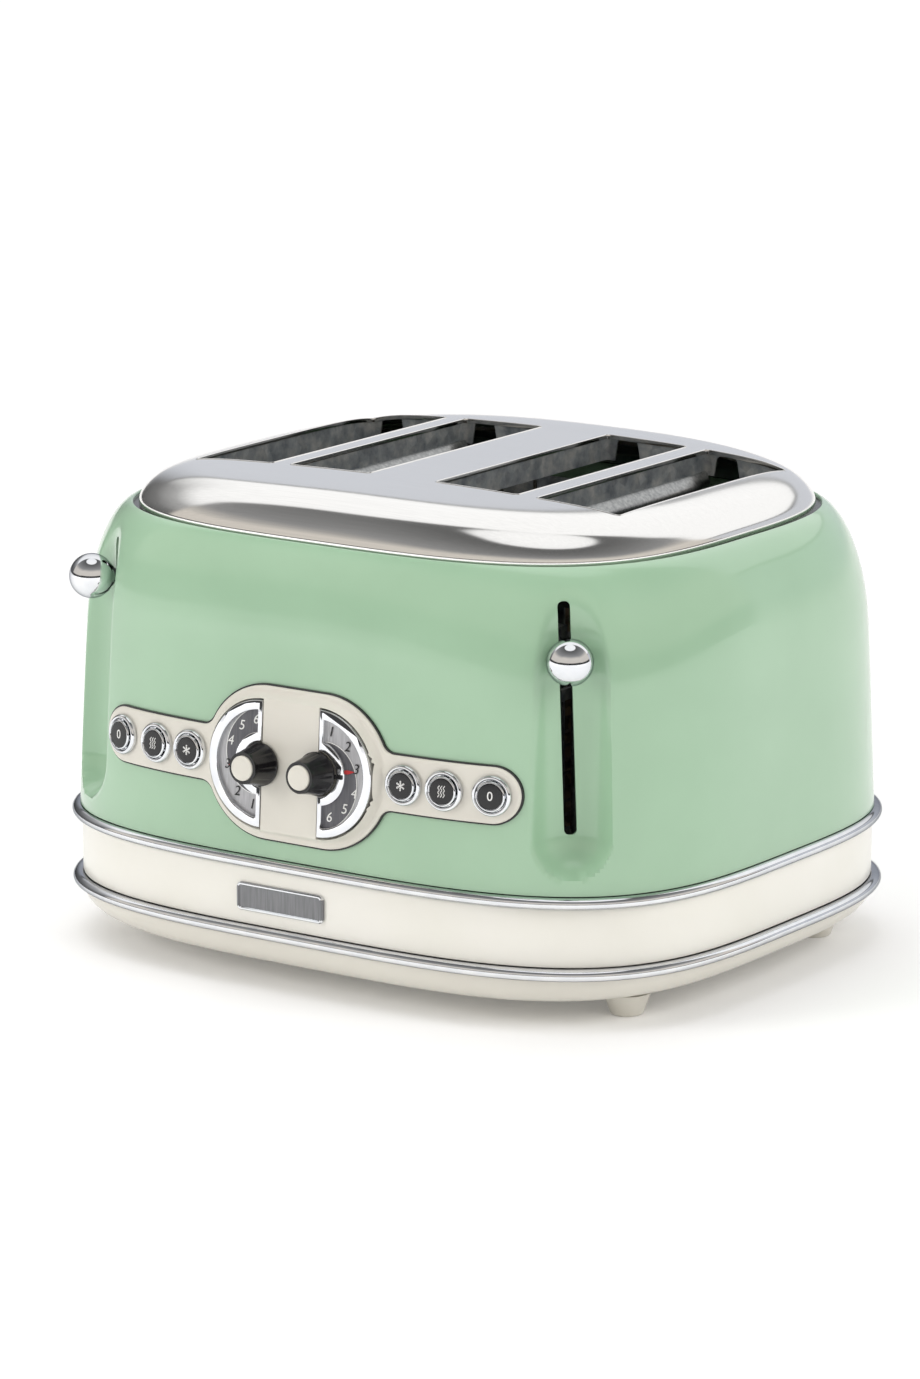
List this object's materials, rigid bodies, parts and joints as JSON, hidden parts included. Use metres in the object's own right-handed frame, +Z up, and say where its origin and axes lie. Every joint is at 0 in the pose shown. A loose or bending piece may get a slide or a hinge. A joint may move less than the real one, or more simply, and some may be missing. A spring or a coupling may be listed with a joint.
{
  "type": "pop up toaster",
  "caption": "Wide pop-up toaster with a rounded painted shell, domed metal lid with bread slots, corner levers, dial panel and push buttons, on a cream base with chrome rings.",
  "frame": {"origin": "on the surface that the feet stand on, under the middle of the whole object, knobs included", "axes": "+X to the toaster's right as seen from the front, +Y to its back, +Z up"},
  "size_m": [0.335, 0.2984, 0.2158],
  "materials": {
    "green_enamel": "gloss sage green baked enamel on pressed steel",
    "polished_steel": "polished stainless steel",
    "chrome_trim": "bright chrome plate",
    "cream_plastic": "moulded cream plastic",
    "badge_metal": "blank satin metal plate",
    "black_plastic": "moulded black plastic",
    "dial_grey": null,
    "galvanised_steel": "galvanised sheet, mottled",
    "steel_wire": "drawn steel wire",
    "mica_board": "mica sheet wound with heating ribbon",
    "circuit_board": "glass-epoxy circuit board"
  },
  "bodies": {
    "housing": {"body_shell": "green_enamel", "top_cover": "polished_steel", "upper_trim_ring": "chrome_trim", "lower_trim_ring": "chrome_trim", "base_band": "cream_plastic", "base_pan": "cream_plastic", "control_panel": "cream_plastic", "badge_plate": "badge_metal", "cord_inlet": "black_plastic", "chassis_floor": "galvanised_steel", "front_chassis_plate": "galvanised_steel", "rear_chassis_plate": "galvanised_steel", "slot_liner": "galvanised_steel", "control_board": "circuit_board", "front_left_foot": "cream_plastic", "front_right_foot": "cream_plastic", "rear_left_foot": "cream_plastic", "rear_right_foot": "cream_plastic", "left_dial_bezel": "chrome_trim", "left_dial_plate": "dial_grey", "left_guide_rod": "steel_wire", "left_latch_magnet": "black_plastic", "left_defrost_bezel": "chrome_trim", "left_reheat_bezel": "chrome_trim", "left_cancel_bezel": "chrome_trim", "left_element_1": "mica_board", "left_element_2": "mica_board", "left_element_3": "mica_board", "right_dial_bezel": "chrome_trim", "right_dial_plate": "dial_grey", "right_guide_rod": "steel_wire", "right_latch_magnet": "black_plastic", "right_defrost_bezel": "chrome_trim", "right_reheat_bezel": "chrome_trim", "right_cancel_bezel": "chrome_trim", "right_element_1": "mica_board", "right_element_2": "mica_board", "right_element_3": "mica_board"},
    "left_lever": {"left_lever_carriage": "galvanised_steel", "left_lever_knob": "chrome_trim", "left_lift_spring": "steel_wire"},
    "left_inner_guard_pair": {"left_inner_guards": "steel_wire"},
    "left_outer_guard_pair": {"left_outer_guards": "steel_wire"},
    "left_dial": {"left_browning_knob": "black_plastic", "left_knob_cap": "cream_plastic"},
    "left_tray": {"left_crumb_tray": "galvanised_steel"},
    "left_defrost": {"left_defrost_button": "black_plastic"},
    "left_reheat": {"left_reheat_button": "black_plastic"},
    "left_cancel": {"left_cancel_button": "black_plastic"},
    "right_lever": {"right_lever_carriage": "galvanised_steel", "right_lever_knob": "chrome_trim", "right_lift_spring": "steel_wire"},
    "right_inner_guard_pair": {"right_inner_guards": "steel_wire"},
    "right_outer_guard_pair": {"right_outer_guards": "steel_wire"},
    "right_dial": {"right_browning_knob": "black_plastic", "right_knob_cap": "cream_plastic"},
    "right_tray": {"right_crumb_tray": "galvanised_steel"},
    "right_defrost": {"right_defrost_button": "black_plastic"},
    "right_reheat": {"right_reheat_button": "black_plastic"},
    "right_cancel": {"right_cancel_button": "black_plastic"}
  },
  "joints": [
    {"name": "left_lever_slide", "type": "slide", "parent": "housing", "child": "left_lever", "axis": [0, 0, 1], "range_m": [-0.0776, 0.0114], "stiffness_N_per_m": 120, "springref_m": 0.0101, "deforming": ["left_lift_spring"]},
    {"name": "left_inner_guard_slide", "type": "slide", "parent": "housing", "child": "left_inner_guard_pair", "axis": [-1, 0, 0], "range_m": [-0.0015, 0.006]},
    {"name": "left_outer_guard_slide", "type": "slide", "parent": "housing", "child": "left_outer_guard_pair", "axis": [1, 0, 0], "range_m": [-0.0015, 0.006]},
    {"name": "left_dial_turn", "type": "hinge", "parent": "housing", "child": "left_dial", "pos_m": [-0.015, -0.1292, 0.102], "axis": [0, -0.9982, 0.0599], "range_deg": [-90, 60]},
    {"name": "left_tray_slide", "type": "slide", "parent": "housing", "child": "left_tray", "axis": [0, 1, 0], "range_m": [0, 0.19]},
    {"name": "left_defrost_press", "type": "slide", "parent": "housing", "child": "left_defrost", "axis": [0.0581, 0.9965, -0.0598], "range_m": [0, 0.0019], "stiffness_N_per_m": 300, "springref_m": -0.001},
    {"name": "left_reheat_press", "type": "slide", "parent": "housing", "child": "left_reheat", "axis": [0.1258, 0.9903, -0.0594], "range_m": [0, 0.0019], "stiffness_N_per_m": 300, "springref_m": -0.001},
    {"name": "left_cancel_press", "type": "slide", "parent": "housing", "child": "left_cancel", "axis": [0.2476, 0.9671, -0.058], "range_m": [0, 0.0019], "stiffness_N_per_m": 300, "springref_m": -0.001},
    {"name": "right_lever_slide", "type": "slide", "parent": "housing", "child": "right_lever", "axis": [0, 0, 1], "range_m": [-0.071, 0.018], "stiffness_N_per_m": 120, "springref_m": 0.0101, "deforming": ["right_lift_spring"]},
    {"name": "right_inner_guard_slide", "type": "slide", "parent": "housing", "child": "right_inner_guard_pair", "axis": [1, 0, 0], "range_m": [-0.0015, 0.006]},
    {"name": "right_outer_guard_slide", "type": "slide", "parent": "housing", "child": "right_outer_guard_pair", "axis": [-1, 0, 0], "range_m": [-0.0015, 0.006]},
    {"name": "right_dial_turn", "type": "hinge", "parent": "housing", "child": "right_dial", "pos_m": [0.015, -0.1292, 0.102], "axis": [0, -0.9982, 0.0599], "range_deg": [-90, 60]},
    {"name": "right_tray_slide", "type": "slide", "parent": "housing", "child": "right_tray", "axis": [0, 1, 0], "range_m": [0, 0.19]},
    {"name": "right_defrost_press", "type": "slide", "parent": "housing", "child": "right_defrost", "axis": [-0.0581, 0.9965, -0.0598], "range_m": [0, 0.0019], "stiffness_N_per_m": 300, "springref_m": -0.001},
    {"name": "right_reheat_press", "type": "slide", "parent": "housing", "child": "right_reheat", "axis": [-0.1258, 0.9903, -0.0594], "range_m": [0, 0.0019], "stiffness_N_per_m": 300, "springref_m": -0.001},
    {"name": "right_cancel_press", "type": "slide", "parent": "housing", "child": "right_cancel", "axis": [-0.2476, 0.9671, -0.058], "range_m": [0, 0.0019], "stiffness_N_per_m": 300, "springref_m": -0.001}
  ],
  "couplings": [
    {"joint": "left_inner_guard_slide", "follows": "left_lever_slide", "ratio": -0.075},
    {"joint": "left_outer_guard_slide", "follows": "left_lever_slide", "ratio": -0.075},
    {"joint": "right_inner_guard_slide", "follows": "right_lever_slide", "ratio": -0.075},
    {"joint": "right_outer_guard_slide", "follows": "right_lever_slide", "ratio": -0.075}
  ]
}
